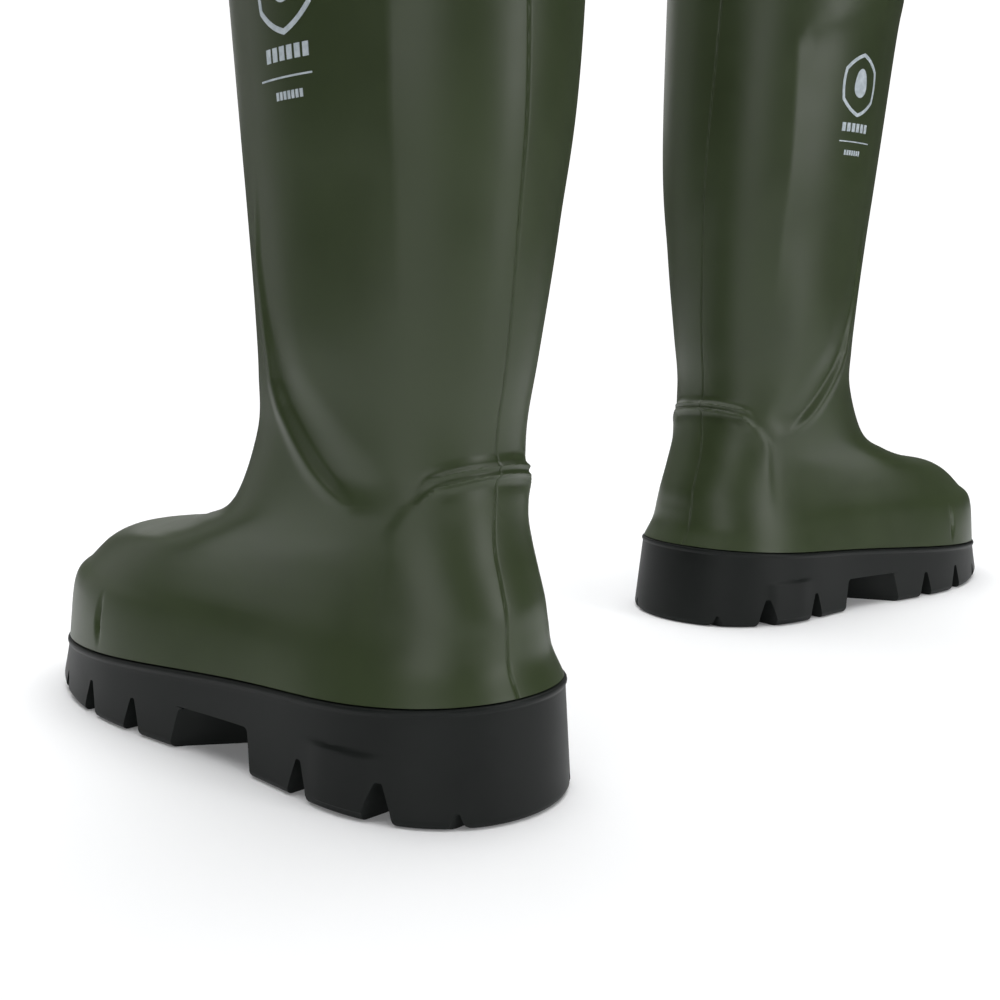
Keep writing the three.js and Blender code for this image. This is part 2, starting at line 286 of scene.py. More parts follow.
def bead_height(spot):
    """A low rounded band that carries two thin crests, and dies out towards the ankle."""
    distance, side = nearest(BEAD_ROUTE, spot)
    crests = sum(hump(abs(distance * side - offset), CREST_REACH)
                 for offset in (-CREST_APART, CREST_APART))
    fade = 1 - ease(spot.x, 0.027, 0.035)
    return fade * (BEAD_HEIGHT * hump(distance, BEAD_REACH) + CREST_HEIGHT * crests)


def counter_height(spot):
    """The stiffened heel swells out, and ends in a soft step that runs down from the bead."""
    edge = straight_at(COUNTER_Z, COUNTER_X, spot.y)
    swell = ease(spot.x, 0.012, edge - 0.003) * (1 - ease(spot.x, edge - 0.003, edge + 0.003))
    return COUNTER_STEP * swell * ease(spot.y, 0.06, 0.092) * (1 - ease(spot.y, 0.114, 0.124))


def fold_height(spot):
    """A lip on the instep side, and a hollow that opens out behind it."""
    distance, side = nearest(FOLD_ROUTE, spot)
    strength = ease(spot.y, 0.108, 0.124) * (1 - ease(spot.y, 0.19, 0.235))
    if side < 0:
        hollow = ease(distance, 0, FOLD_DEEPEST) * (1 - ease(distance, FOLD_DEEPEST, FOLD_REACH))
        hollow *= 1 - 0.8 * ease(spot.y, 0.14, 0.19)
        return strength * (FOLD_LIP * hump(distance, 0.004) - FOLD_DEPTH * hollow)
    return strength * FOLD_LIP * hump(distance, 0.007)


def panel_height(spot):
    """The panel starts with a crease at its rear edge and its top and sinks away from them."""
    from_edge = spot.x - straight_at(PANEL_EDGE_Z, PANEL_EDGE_X, spot.y)
    from_top = straight_at(PANEL_TOP_X, PANEL_TOP_Z, spot.x) - spot.y
    inside = min(from_edge, from_top)
    if inside <= 0:
        return 0
    strength = ease(spot.y, 0.165, 0.23) * (1 - ease(spot.x, 0.095, 0.135))
    return -PANEL_DEPTH * strength * (1 - math.exp(-inside / PANEL_EASE))


def dimple_height(spot):
    """A short upright groove whose lower end curves back."""
    gap = spot - DIMPLE
    gap.x += 0.004 * ease(-gap.y, 0, 0.013)
    reach = Vector((gap.x / 0.0032, gap.y / 0.014)).length
    return -DIMPLE_DEPTH * hump(reach, 1)


def seam_height(point):
    """The parting line wanders a little to the outer side on its way up."""
    if point.x > ANKLE.x:
        return 0
    return -SEAM_DEPTH * hump(abs(point.y - straight_at(SEAM_Z, SEAM_Y, point.z)), SEAM_REACH)


def relief(point):
    """How far the moulded surface stands out from the last."""
    spot = Vector((point.x, point.z))
    height = bead_height(spot) + seam_height(point)
    if point.y > 0:
        fade = ease(point.y, 0, 0.012)
        height += fade * (fold_height(spot) + panel_height(spot) + dimple_height(spot))
    height += counter_height(spot)
    return height


print("bead", BEAD_HEIGHT, "fold", FOLD_DEPTH, "panel", PANEL_DEPTH)

# %% [markdown]
# ## Wrapping a wall round the last
# A tube with a wall could be a surface with a Solidify modifier, but then the rim can't be shaped.
# Instead a plain cylinder is cut into rings, each ring is moved to a level on the last and a depth
# under its skin, and the last ring is joined to the first, which closes the wall. The turns lie
# close together at the parting line and at the toe's dimple, which need fine quads.

# %% Cylinder to wall
TURN_SPANS = ((0.27, 0.0075), (1.85, 0.027), (2.12, 0.01), (math.pi, 0.03))  # up to a turn, spacing


def steps(start, end, count):
    return [mix(start, end, i / count) for i in range(count + 1)]


def turns():
    """Turns from the back seam to the front and round again, the same on both sides."""
    half, start = [0.0], 0.0
    for end, spacing in TURN_SPANS:
        half += steps(start, end, round((end - start) / spacing))[1:]
        start = end
    return half + [-turn for turn in reversed(half[1:-1])]


TURNS = turns()
FLATS = len(TURNS)


def rings(count):
    """A cylinder of rings, with the index of each vertex's ring and its turn round the leg."""
    bm = bmesh.new()
    bmesh.ops.create_cone(bm, cap_ends=False, segments=FLATS, radius1=1, radius2=1, depth=1)
    upright = [e for e in bm.edges if abs(e.verts[0].co.z - e.verts[1].co.z) > 0.5]
    bmesh.ops.subdivide_edges(bm, edges=upright, cuts=count - 2, use_grid_fill=True)
    places = {}
    for vertex in bm.verts:
        index = round((vertex.co.z + 0.5) * (count - 1))
        share = math.atan2(vertex.co.y, vertex.co.x) / (2 * math.pi)
        places[vertex] = (index, TURNS[round(share * FLATS) % FLATS])
    return bm, places


def close_wall(bm):
    """Joins the first ring to the last one, and points every face outwards."""
    bmesh.ops.bridge_loops(bm, edges=[e for e in bm.edges if e.is_boundary])
    bmesh.ops.recalc_face_normals(bm, faces=bm.faces)
    for face in bm.faces:
        face.smooth = True


def wall(route, with_relief=True, shift=None):
    """A closed wall that follows a route of (level, depth) round the last."""
    bm, places = rings(len(route))
    for vertex, (index, turn) in places.items():
        level, depth = route[index]
        point = skin(level, turn)
        if shift:
            depth += shift(point)
        if with_relief:
            depth -= relief(point) * ease(UPPER_WALL - depth, 0, UPPER_WALL)
        vertex.co = point - depth * away(level, turn)
        if level > 0:
            vertex.co.z = max(vertex.co.z, sole_top(vertex.co.x) + GAP)
    close_wall(bm)
    return bm


UPPER_WALL, LINING_WALL, GAP = 0.0034, 0.0012, 0.0003
print("wall", UPPER_WALL, "m thick,", FLATS, "turns")

# %% [markdown]
# ## Setting a piece down on both boots
# One function turns a bmesh into two objects. Mirroring turns the right one inside out, so its
# faces are pointed outwards again. A piece either rides on one body of its boot or, where it spans
# a joint, as the upper does at the ankle and at the ball of the foot, is baked in place unparented.

# %% Two objects from one shape
TOE_BEND = ("foot", "toe", BALL - Vector((0.025, 0, 0)), BALL + Vector((0.025, 0, 0)))
ANKLE_BEND = ("foot", "shaft", ANKLE - 0.007 * UP, ANKLE + 0.05 * UP)
SHARP = math.radians(35)


def set_down(name, bm, finish, stands_for, body=None, bend=None, sides=tuple(BOOTS)):
    """Places a shape on both boots, on one body or, for a bend, baked in place, and hides the parts it
    stands for.
    """
    made = []
    for side in sides:
        to_boot = BOOTS[side]
        copy = bm.copy()
        copy.transform(to_boot)
        bmesh.ops.recalc_face_normals(copy, faces=copy.faces)
        mesh = bpy.data.meshes.new(f"{side}_{name}")
        copy.to_mesh(mesh)
        copy.free()
        mesh.set_sharp_from_angle(angle=SHARP)
        piece = bpy.data.objects.new(f"{side}_{name}", mesh)
        bpy.context.collection.objects.link(piece)
        mesh.materials.append(finish)
        if bend:
            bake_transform(piece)
        else:
            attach(piece, f"{side}_{body}")
        if stands_for:
            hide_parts(*(f"{side}_{node}" for node in stands_for))
        made.append(piece)
    print(name, len(made[0].data.polygons), "faces")
    bm.free()
    return made


# %% [markdown]
# ## Shader maths
# Patterns are sums and products of textures. Wrapping a socket in a small class lets them be
# written as plain expressions, and each operator adds its Math node. Any other node comes from one
# method that sets the node's own settings first and its sockets after them.

# %% Signals and finishes
class Signal:
    """A number that changes over a surface."""

    def __init__(self, finish, socket):
        self.finish = finish
        self.socket = socket

    def joined(self, operation, *values):
        return self.finish.node("ShaderNodeMath", {"operation": operation}, values)

    def __add__(self, other):
        return self.joined("ADD", self, other)

    def __sub__(self, other):
        return self.joined("SUBTRACT", self, other)

    def __rsub__(self, other):
        return self.joined("SUBTRACT", other, self)

    def __mul__(self, other):
        return self.joined("MULTIPLY", self, other)

    __radd__ = __add__
    __rmul__ = __mul__


class Finish:
    """A material with a Principled shader, and the nodes that feed it."""

    def __init__(self, name, **constants):
        self.material = bpy.data.materials.new(name)
        self.material.use_nodes = True
        self.tree = self.material.node_tree
        self.shader = self.tree.nodes["Principled BSDF"]
        for socket, value in constants.items():
            self.shader.inputs[socket.replace("_", " ")].default_value = value
        self.place = self.node("ShaderNodeTexCoord", output="Object")

    def node(self, kind, settings=None, sockets=(), output=0):
        """Adds a node and gives back the signal of one of its outputs."""
        node = self.tree.nodes.new(kind)
        for setting, value in (settings or {}).items():
            if setting == "stops":
                self.set_stops(node.color_ramp.elements, value)
            else:
                setattr(node, setting, value)
        named = sockets.items() if isinstance(sockets, dict) else enumerate(sockets)
        for socket, value in named:
            self.feed(node.inputs[socket], value)
        return Signal(self, node.outputs[output])

    def set_stops(self, elements, stops):
        while len(elements) < len(stops):
            elements.new(1)
        for element, (position, colour) in zip(elements, stops):
            element.position = position
            element.color = (*colour, 1)

    def feed(self, socket, value):
        if isinstance(value, Signal):
            self.tree.links.new(value.socket, socket)
        else:
            socket.default_value = value

    def noise(self, scale, detail=2, place=None):
        settings = {"Vector": place or self.place, "Scale": scale, "Detail": detail}
        return self.node("ShaderNodeTexNoise", sockets=settings)

    def ramp(self, signal, *stops):
        return self.node("ShaderNodeValToRGB", {"stops": stops}, [signal])

    def drive(self, socket, value):
        self.feed(self.shader.inputs[socket], value)

    def wave(self, signal, length):
        """A sine of 0 to 1 that repeats every so many metres."""
        turns_round = signal * (2 * math.pi / length)
        return self.node("ShaderNodeMath", {"operation": "SINE"}, [turns_round]) * 0.5 + 0.5

    def emboss(self, height, depth, strength=1.0):
        """Dents the surface by a height of 0 to 1, in metres of depth."""
        sockets = {"Height": height, "Distance": depth, "Strength": strength}
        self.drive("Normal", self.node("ShaderNodeBump", sockets=sockets))


# %% [markdown]
# ## Green polyurethane
# The upper is one thick skin of foamed polyurethane, dyed right through, with the satin of the
# mould's fine blasting. The colour drifts a little where the skin cooled at different speeds, and
# the gloss drifts with it. A fine bump keeps the reflections from looking like glass.

# %% Finish of the upper
OLIVE_DARK = (0.024, 0.037, 0.0105)
OLIVE = (0.031, 0.047, 0.0145)


def green_polyurethane():
    green = Finish("green_polyurethane", Specular_IOR_Level=0.5)
    drift = green.noise(14, 3)
    cloud = green.noise(55, 4)
    green.drive("Base Color", green.ramp(drift * 0.7 + cloud * 0.3, (0.3, OLIVE_DARK), (0.7, OLIVE)))
    green.drive("Roughness", 0.36 + cloud * 0.1)
    blasting = green.noise(2600, 2) * 0.7 + green.noise(700, 2) * 0.3
    green.emboss(blasting, 0.00004, 0.5)
    return green.material


GREEN = green_polyurethane()

# %% [markdown]
# ## The foot of the upper
# The foot part runs from the edge of the sole to just under the ankle. It spans the ball of the
# foot, where the boot bends, as one sheet over the foot and the toe, and it stands for the three
# hard parts underneath it.

# %% Foot part
FOOT_START, FOOT_END = 0.03, 7.0


def out_and_back(levels, back_levels, thickness):
    """Route up the outside of a wall and down its inside."""
    return [(level, 0) for level in levels] + [(level, thickness) for level in reversed(back_levels)]


def foot_part():
    outside = steps(FOOT_START, 2, 24) + steps(2, FOOT_END, 40)[1:]
    inside = steps(FOOT_START, FOOT_END, 24)
    return wall(out_and_back(outside, inside, UPPER_WALL))


set_down("boot_foot", foot_part(), GREEN,
         ("upper_foot", "upper_ball_flex", "upper_toe"), bend=TOE_BEND)

# %% [markdown]
# ## The leg of the upper
# The leg part takes over where the foot part ends, so that each sheet spans only one joint. The
# rings lie close together at the ankle, where the bead and the fold are.

# %% Leg part
def leg_part():
    outside = steps(FOOT_END, 9.2, 52) + steps(9.2, 11, 30)[1:] + steps(11, TOP, 70)[1:]
    inside = steps(FOOT_END, TOP, 44)
    return wall(out_and_back(outside, inside, UPPER_WALL))


set_down("boot_leg", leg_part(), GREEN,
         ("upper_ankle_flex", "upper_shaft"), bend=ANKLE_BEND)

# %% [markdown]
# ## The rolled collar
# The top edge of such a boot is thickened into a band so that it doesn't tear when the boot is
# pulled on. It is a wall like the others, with its section rounded over the top of the shaft.

# %% Collar
BAND_HEIGHT = 0.12  # in stations
BAND_OUT = 0.0021
BAND_ROUND = 0.0012


def collar():
    low = TOP - BAND_HEIGHT
    lip = BAND_ROUND / 0.13  # the last station is 0.13 m tall
    route = [(low, -0.0002), (low + 0.1 * lip, -BAND_OUT * 0.6), (low + lip * 0.5, -BAND_OUT * 0.9)]
    route += [(level, -BAND_OUT) for level in steps(low + lip, TOP - lip, 8)]
    route += [(TOP - lip * 0.4, -BAND_OUT * 0.93), (TOP - lip * 0.1, -BAND_OUT * 0.7)]
    route += [(TOP, -BAND_OUT * 0.4), (TOP, -0.0002)]
    return wall(route, with_relief=False)


set_down("boot_collar", collar(), GREEN, ("collar_rim",), body="shaft")

# %% [markdown]
# ## The black sole
# The sole is a block of denser, black polyurethane with a raised lip where it meets the upper, a
# gap under the arch and notches that open between the cleats. Its side is a stack of rings round
# the footprint. Flat faces across it close the tread and the top. The gap, the notches and the
# grooves of the tread are then cut with prisms, because a boolean leaves crisp moulded edges.

# %% Side of the sole
EDGE_ROUND = 0.003
SOLE_FLARE, SOLE_WAIST = 0.0036, 0.0006
LIP = (
    # how far out, and how far under the top
    (0.0006, 0.0036), (0.0005, 0.0031), (0.0007, 0.0026), (0.0010, 0.0021), (0.0011, 0.0015),
    (0.0010, 0.0009), (0.0007, 0.0004), (0, 0.0001), (-0.0012, 0),
)
TOE_SPRING, SPRING_X = 0.01, 0.215
PAD_TOP, PAD_REAR, PAD_FRONT, PAD_OUT = 0.0255, 0.0345, 0.068, 0.0009


def floor_under(x):
    """The tread lifts off the floor towards the toe."""
    share = min(max((x - SPRING_X) / (SOLE_LENGTH - SPRING_X), 0), 1)
    return TOE_SPRING * share * share


def sole_edge(turn):
    """Point on the outline of the sole, and the direction square to it in plan."""
    nudge = 0.02
    step = skin(0, turn + nudge) - skin(0, turn - nudge)
    return skin(0, turn), Vector((-step.y, step.x, 0)).normalized()


def pad_height(x, z):
    """The pad moulded on the outside of the heel, between two notches."""
    sides = ease(x, PAD_REAR - 0.0006, PAD_REAR + 0.0006) * (1 - ease(x, PAD_FRONT - 0.012, PAD_FRONT))
    return PAD_OUT * sides * (1 - ease(z, PAD_TOP - 0.0006, PAD_TOP + 0.0006))


def sole_route():
    """Rings from the tread up to the lip: out, above the floor, under the top, and share of the two."""
    quarter = steps(0, math.pi / 2, 4)
    route = [(SOLE_FLARE - EDGE_ROUND * (1 - math.sin(a)), EDGE_ROUND * (1 - math.cos(a)), 0, 0)
             for a in quarter]
    for share in steps(0, 1, 36)[1:]:
        route.append((mix(SOLE_FLARE, SOLE_WAIST, share), EDGE_ROUND, LIP[0][1] + 0.0006, share))
    return route + [(out, 0, under, 1) for out, under in LIP]


def sole_block():
    route = sole_route()
    bm, places = rings(len(route))
    for vertex, (index, turn) in places.items():
        out, above, under, share = route[index]
        edge, aside = sole_edge(turn)
        x = edge.x + out * aside.x
        z = mix(floor_under(x) + above, sole_top(x) - under, share)
        if turn > 0 and 0 < share < 1:
            out += pad_height(edge.x, z)
        vertex.co = edge + out * aside
        vertex.co.z = z
    for last_ring in (0, len(route) - 1):
        close_across(bm, places, last_ring)
    bmesh.ops.recalc_face_normals(bm, faces=bm.faces)
    for face in bm.faces:
        face.smooth = True
    return bm


def close_across(bm, places, ring):
    """Fills a ring with flat faces that run across the boot."""
    is_middle = {v: abs(math.sin(turn)) < 1e-4 for v, (_, turn) in places.items()}

    def open_edges():
        return [e for e in bm.edges if e.is_boundary and all(places[v][0] == ring for v in e.verts)]

    sides = [e for e in open_edges() if not any(is_middle[v] for v in e.verts)]
    bmesh.ops.bridge_loops(bm, edges=sides)
    bmesh.ops.holes_fill(bm, edges=open_edges(), sides=4)


print("sole of", len(sole_route()), "rings")

# %% [markdown]
# The cutters are prisms. The gap under the arch is drawn in plan, because the block ahead of it runs
# back to a blunt point under the middle of the foot, and it narrows towards its roof. The notches
# are drawn in side view, tall and narrow, and reach in from each side. The grooves join them across
# the tread.

# %% Cut the arch and the tread
ARCH_PLAN = (
    (0.0985, 0.09), (0.0985, -0.09), (0.15, -0.09), (0.15, -0.065), (0.141, -0.05), (0.111, 0),
    (0.149, 0.057), (0.165, 0.09),
)
ARCH_LEAN, ARCH_ROOF, ARCH_FALL = 0.0045, 0.02, 0.0015
NOTCHES = (0.032, 0.07, 0.1775, 0.213)
SMALL_NOTCHES = (
    # x, width, height
    (0.0085, 0.005, 0.0095), (0.248, 0.008, 0.013), (0.272, 0.008, 0.013),
)
NOTCH_DEPTH, NOTCH_PAST_EDGE = 0.015, 0.012
NOTCH_SIZE = (0.0125, 0.019)
# The rounding is a share of the width at most, because more would turn a small cutter inside out
NOTCH_ROUNDING, NOTCH_ROUNDING_SHARE = 0.0006, 0.06
GROOVE_WIDTH, GROOVE_HEIGHT = 0.0055, 0.0055


def prism(bm, outline, start, end, rounding=0.0):
    """Adds a prism that runs along y, with its long edges rounded."""
    corners = [bm.verts.new((x, start, z)) for x, z in outline]
    face = bm.faces.new(corners)
    pulled = bmesh.ops.extrude_face_region(bm, geom=[face])["geom"]
    far = [v for v in pulled if isinstance(v, bmesh.types.BMVert)]
    bmesh.ops.translate(bm, verts=far, vec=(0, end - start, 0))
    if rounding:
        ends = set(corners), set(far)
        long_edges = [e for v in corners for e in v.link_edges if e.other_vert(v) in ends[1]]
        bmesh.ops.bevel(bm, geom=long_edges, offset=rounding, affect="EDGES", segments=3,
                        profile=0.5, material=-1)


def arch_cutter():
    """A prism that stands on its plan, leans in towards its roof and has its edges rounded."""
    bm = bmesh.new()
    bottom = bm.faces.new([bm.verts.new((x, y, -0.005)) for x, y in ARCH_PLAN])
    pulled = bmesh.ops.extrude_face_region(bm, geom=[bottom])["geom"]
    roof = [v for v in pulled if isinstance(v, bmesh.types.BMVert)]
    for vertex in roof:
        is_rear = vertex.co.x < 0.1
        vertex.co.x += ARCH_LEAN * (1 if is_rear else -1)
        vertex.co.z = ARCH_ROOF - (0 if is_rear else ARCH_FALL)
    edges = {e for v in roof for e in v.link_edges}
    bmesh.ops.bevel(bm, geom=list(edges), offset=0.002, affect="EDGES", segments=3, profile=0.5,
                    material=-1)
    bmesh.ops.recalc_face_normals(bm, faces=bm.faces)
    return bm


def notch_outline(x, width, height):
    """A pointed arch, as wide as the notch at the floor."""
    foot = floor_under(x) - 0.003
    half = width / 2
    return ((x - half * 1.12, foot), (x + half * 1.12, foot), (x + half * 0.72, foot + height * 0.5),
            (x + half * 0.2, foot + height), (x - half * 0.2, foot + height),
            (x - half * 0.72, foot + height * 0.5))


def half_width(x, is_outer):
    """Half the width of the sole at x."""
    turn = math.acos(1 - 2 * x / SOLE_LENGTH)
    return abs(skin(0, turn if is_outer else -turn).y)


def notch_cutters():
    bm = bmesh.new()
    for x, width, height in [(x, *NOTCH_SIZE) for x in NOTCHES] + list(SMALL_NOTCHES):
        rounding = min(NOTCH_ROUNDING, NOTCH_ROUNDING_SHARE * width)
        for side in (1, -1):
            reach = half_width(x, side > 0)
            prism(bm, notch_outline(x, width, height), side * (reach - NOTCH_DEPTH),
                  side * (reach + NOTCH_PAST_EDGE), rounding)
    bmesh.ops.recalc_face_normals(bm, faces=bm.faces)
    return bm


def groove_cutters():
    bm = bmesh.new()
    for x in NOTCHES + tuple(x for x, _, _ in SMALL_NOTCHES[1:]):
        foot, half = floor_under(x), GROOVE_WIDTH / 2
        outline = ((x - half * 1.2, foot - 0.004), (x + half * 1.2, foot - 0.004),
                   (x + half * 0.7, foot + GROOVE_HEIGHT), (x - half * 0.7, foot + GROOVE_HEIGHT))
        ends = [(-1, 1)] if x > ARCH_PLAN[-1][0] else [(-1, -0.2), (0.2, 1)]
        for start, end in ends:
            prism(bm, outline, start * (half_width(x, False) - 0.006),
                  end * (half_width(x, True) - 0.006), 0.0008)
    bmesh.ops.recalc_face_normals(bm, faces=bm.faces)
    return bm


def cut(bm, *cutters):
    """Subtracts each cutter in turn, and gives back the shape that is left."""
    mesh = bpy.data.meshes.new("block")
    bm.to_mesh(mesh)
    block = bpy.data.objects.new("block", mesh)
    bpy.context.collection.objects.link(block)
    tools = []
    for cutter in cutters:
        tool_mesh = bpy.data.meshes.new("cutter")
        cutter.to_mesh(tool_mesh)
        cutter.free()
        tool = bpy.data.objects.new("cutter", tool_mesh)
        bpy.context.collection.objects.link(tool)
        away_cut = block.modifiers.new("cut", "BOOLEAN")
        away_cut.object, away_cut.operation, away_cut.solver = tool, "DIFFERENCE", "EXACT"
        tools.append(tool)
    bpy.context.view_layer.update()
    bm.clear()
    bm.from_object(block, bpy.context.evaluated_depsgraph_get())
    for used in (block, *tools):
        bpy.data.objects.remove(used)
    if not bm.faces or any(not e.is_manifold for e in bm.edges):
        raise ValueError("a cutter is inside out or open, so the cut piece isn't a closed solid")
    return bm


sole = cut(sole_block(), arch_cutter(), groove_cutters(), notch_cutters())
print("sole has", len(sole.faces), "faces,", sum(e.is_boundary for e in sole.edges), "open edges")

# %% [markdown]
# Sole polyurethane is satin black with a slightly grey bloom. Its gloss drifts a little over the
# surface, and the same fine blasting dents it.

# %% Finish of the sole
SOLE_BLACK = (0.0040, 0.0055, 0.0048)
SOLE_BLOOM = (0.0068, 0.0088, 0.0078)


def black_polyurethane():
    black = Finish("black_polyurethane", Specular_IOR_Level=0.22)
    cloud = black.noise(40, 4)
    black.drive("Base Color", black.ramp(cloud, (0.35, SOLE_BLACK), (0.7, SOLE_BLOOM)))
    black.drive("Roughness", 0.42 + cloud * 0.14)
    blasting = black.noise(2200, 2) * 0.6 + black.noise(500, 2) * 0.4
    black.emboss(blasting, 0.00005, 0.5)
    return black.material


BLACK = black_polyurethane()
set_down("boot_sole", sole, BLACK,
         ("outsole_rear", "outsole_ball_flex", "outsole_toe"), bend=TOE_BEND)

# %% [markdown]
# ## Knitted lining
# The boot is foamed round a knitted sock, which stays inside as the lining. It lies against the
# upper, and steps in ahead of the steel cap to run inside it. Knitting is rows of small loops, so
# its bump is cells crossed with fine rows round the leg.

# %% Lining
CAP_WALL, CAP_REAR = 0.0018, 0.221
KNIT_ROW = 0.0016


def knitting():
    knit = Finish("knitted_lining", Specular_IOR_Level=0.2, Roughness=0.95, Sheen_Weight=0.3)
    loops = knit.node("ShaderNodeTexVoronoi", sockets={"Vector": knit.place, "Scale": 620})
    height = knit.node("ShaderNodeSeparateXYZ", sockets=[knit.place], output=2)
    rows = knit.wave(height, KNIT_ROW)
    shade = knit.noise(60, 3) * 0.6 + loops * 0.4
    knit.drive("Base Color", knit.ramp(shade, (0.2, (0.40, 0.39, 0.35)), (0.8, (0.58, 0.57, 0.52))))
    knit.emboss(rows * 0.6 - loops * 0.4, 0.0005, 0.8)
    return knit.material


def in_toe(point):
    """Extra depth of the lining where the steel cap lies outside it."""
    return (CAP_WALL + GAP) * ease(point.x, 0.155, 0.181)


def lining(start, end, count):
    outer = UPPER_WALL + GAP
    levels = steps(start, end, count)
    route = [(level, outer) for level in levels]
    route += [(level, outer + LINING_WALL) for level in reversed(levels)]
    return wall(route, with_relief=False, shift=in_toe)


KNIT = knitting()
set_down("foot_lining", lining(0.06, FOOT_END - 0.02, 40), KNIT,
         ("lining_foot", "lining_toe"), bend=TOE_BEND)
set_down("leg_lining", lining(FOOT_END, TOP - 0.01, 60), KNIT,
         ("lining_shaft",), bend=ANKLE_BEND)

# %% [markdown]
# ## Steel, board and footbed
# Under the foot lie a thin steel plate against nails, a pressed fibre board and a foam footbed with
# a woven top that lifts out. All three are springy sheets that bend at the ball of the foot. Each is
# the sole's outline moved inwards, with rounded edges, so one function makes them all. The steel
# cap is a wall round the last like the others, cut off square behind the toes.

# %% Shapes and finishes under the foot
PLATE, BOARD, FOOTBED = 0.001, 0.0016, 0.005
BOARD_MARGIN, FOOTBED_MARGIN = 0.011, 0.016


def bed(bottom, thickness, margin, rounding):
    """A flat layer above the sole's top, with its edges rounded."""
    corner = [(rounding * (1 - math.sin(a)), rounding * (1 - math.cos(a)))
              for a in steps(0, math.pi / 2, 3)]
    route = [(inset, bottom + up) for inset, up in corner]
    route += [(inset, bottom + thickness - up) for inset, up in reversed(corner)]
    bm, places = rings(len(route))
    for vertex, (index, turn) in places.items():
        inset, up = route[index]
        edge, aside = sole_edge(turn)
        vertex.co = edge - (margin + inset) * aside
        vertex.co.z = sole_top(vertex.co.x) + up
    for last_ring in (0, len(route) - 1):
        close_across(bm, places, last_ring)
    bmesh.ops.recalc_face_normals(bm, faces=bm.faces)
    for face in bm.faces:
        face.smooth = True
    return bm


def pressed_steel():
    steel = Finish("pressed_steel", Metallic=1.0)
    cloud = steel.noise(90, 3)
    steel.drive("Base Color", steel.ramp(cloud, (0.3, (0.42, 0.43, 0.44)), (0.7, (0.55, 0.56, 0.57))))
    steel.drive("Roughness", 0.3 + cloud * 0.15)
    return steel.material


def fibre_board():
    board = Finish("fibre_board", Roughness=0.9, Specular_IOR_Level=0.2)
    fibres = board.noise(900, 5)
    board.drive("Base Color", board.ramp(fibres, (0.3, (0.50, 0.43, 0.32)), (0.7, (0.66, 0.59, 0.47))))
    board.emboss(fibres, 0.0001, 0.6)
    return board.material


def footbed_foam():
    foam = Finish("footbed_foam", Roughness=0.92, Specular_IOR_Level=0.2)
    weave = foam.node("ShaderNodeTexVoronoi", sockets={"Vector": foam.place, "Scale": 900})
    yarn = foam.ramp(weave, (0.1, (0.050, 0.053, 0.056)), (0.7, (0.085, 0.088, 0.092)))
    foam.drive("Base Color", yarn)
    foam.emboss(weave, 0.0003, 0.7)
    return foam.material


print("steel, board and foam")

# %% [markdown]
# The plate is stamped from spring steel, the board is cut from a pressed sheet and the footbed is
# moulded foam. The footbed lifts out, so it stops further inside the edge than the other two.

# %% Set the sheets and the cap down
STEEL = pressed_steel()
set_down("midsole_plate", bed(GAP, PLATE, BOARD_MARGIN, 0.0003), STEEL,
         ("midsole_plate_rear", "midsole_plate_toe"), bend=TOE_BEND)
set_down("insole_board", bed(PLATE + GAP * 2, BOARD, BOARD_MARGIN, 0.0004), fibre_board(),
         ("insole_board_rear", "insole_board_toe"), bend=TOE_BEND)
for footbed in set_down("footbed", bed(PLATE + BOARD + GAP * 3, FOOTBED, FOOTBED_MARGIN, 0.0016),
                        footbed_foam(), ("footbed_rear", "footbed_toe"), bend=TOE_BEND):
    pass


def toe_cap():
    outer = UPPER_WALL + GAP
    levels = steps(0.08, 4.3, 24)
    route = [(level, outer) for level in levels]
    route += [(level, outer + CAP_WALL) for level in reversed(levels)]
    bm = wall(route, with_relief=False)
    bmesh.ops.bisect_plane(bm, geom=bm.verts[:] + bm.edges[:] + bm.faces[:],
                           plane_co=(CAP_REAR, 0, 0), plane_no=(1, 0, 0), clear_inner=True)
    bmesh.ops.triangle_fill(bm, use_beauty=True, edges=[e for e in bm.edges if e.is_boundary])
    bmesh.ops.recalc_face_normals(bm, faces=bm.faces)
    return bm


set_down("toe_cap", toe_cap(), STEEL, ("toe_cap",), body="toe")

# %% [markdown]
# ## The print on the shaft
# A pale print sits on the outside of each shaft. Screen printing lays down a film a fraction of a
# millimetre thick, so the print is thin solid shapes that follow the moulded surface: a rounded
# hexagon with a drop inside it, a row of blocks, a thin line and a row of small blocks, all without
# any lettering. It sits a little lower on the left boot than on the right one.

# %% Print
PRINT_X, BADGE_Z, BADGE_RADIUS, DROP_RADIUS = 0.0705, 0.292, 0.0165, 0.0075
PRINT_LIFT, PRINT_SUNK = 0.00016, -0.0003
PRINT_RISE = {"left": -0.006, "right": 0.007}
BLOCK_ROWS = (
    # z, how many, spacing, width, height
    (0.2705, 6, 0.0041, 0.0028, 0.0044), (0.2575, 7, 0.0022, 0.0015, 0.0026),
)
LINE_AHEAD, LINE_Z, LINE_WIDTH, LINE_HEIGHT = 0.002, 0.2632, 0.029, 0.0006


def on_shaft(x, z, lift):
    """Point on the outer side of the shaft, lifted off its moulded surface."""
    low, high = 8.0, float(TOP)
    for _ in range(24):
        level = (low + high) / 2
        back = smooth_at(BACK_X, level)
        turn = math.acos(1 - 2 * (x - back) / (smooth_at(FRONT_X, level) - back))
        point = skin(level, turn)
        low, high = (level, high) if point.z < z else (low, level)
    return point + (relief(point) + lift) * away(level, turn)


def hexagon(turn):
    """Radius of a hexagon with rounded corners, 1 at most."""
    wedge = math.radians(60)
    flat = math.cos(wedge / 2) / math.cos(turn % wedge - wedge / 2)
    return mix(flat, 0.95, 0.5)


def drop(turn):
    """Radius of a drop with its point up."""
    up = (1 + math.cos(turn - math.pi / 2)) / 2
    return 0.72 + 0.5 * up ** 8


